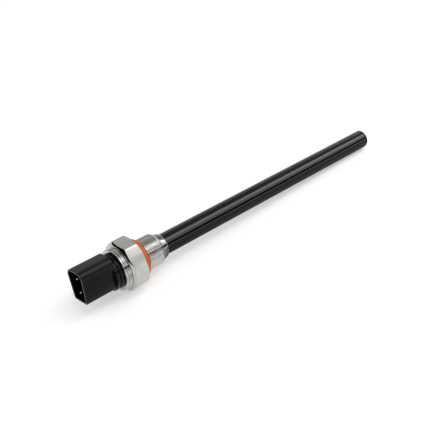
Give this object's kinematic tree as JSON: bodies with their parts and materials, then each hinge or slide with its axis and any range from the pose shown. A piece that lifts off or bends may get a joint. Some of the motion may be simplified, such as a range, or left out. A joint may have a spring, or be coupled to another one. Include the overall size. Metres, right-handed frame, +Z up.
{
  "type": "oil level sensor",
  "caption": "Screw-in oil level sensor: plug connector crimped into an octagonal threaded metal body with a sealing ring, and a long closed round probe tube.",
  "frame": {"origin": "bottom centre of the sensor's box as it lies on a table", "axes": "+X along the probe towards its far end, +Y sideways, +Z up from the table"},
  "size_m": [0.3076, 0.036, 0.0364],
  "materials": {
    "nickel_plated_steel": "satin nickel plating",
    "orange_seal_rubber": "satin moulded rubber",
    "black_connector_plastic": "satin moulded plastic",
    "black_tube_plastic": "smooth drawn plastic",
    "tinned_pin_metal": "bright tinned",
    "solder": "dull solder",
    "black_ring_rubber": "matt rubber",
    "green_circuit_board": "glass-fibre board with solder mask",
    "chip_epoxy": "moulded epoxy",
    "capacitor_ceramic": "ceramic",
    "resistor_ceramic": "ceramic",
    "white_inner_plastic": "plain moulded plastic",
    "electrode_steel": "drawn stainless rod",
    "spring_steel": "spring wire"
  },
  "bodies": {
    "root": {"threaded_body": "nickel_plated_steel", "sealing_ring": "orange_seal_rubber", "connector_housing": "black_connector_plastic", "terminal_pin_1": "tinned_pin_metal", "terminal_pin_2": "tinned_pin_metal", "connector_o_ring": "black_ring_rubber", "circuit_board": "green_circuit_board", "signal_chip": "chip_epoxy", "capacitor_1": "capacitor_ceramic", "capacitor_2": "capacitor_ceramic", "resistor_1": "resistor_ceramic", "resistor_2": "resistor_ceramic", "solder_joint_1": "solder", "solder_joint_2": "solder", "support_sleeve": "white_inner_plastic", "tube_o_ring": "black_ring_rubber", "probe_tube": "black_tube_plastic", "tube_end_plug": "black_tube_plastic", "electrode_rod": "electrode_steel", "contact_spring": "spring_steel", "electrode_spacer_1": "white_inner_plastic", "electrode_spacer_2": "white_inner_plastic", "electrode_spacer_3": "white_inner_plastic", "electrode_spacer_4": "white_inner_plastic"}
  },
  "joints": []
}
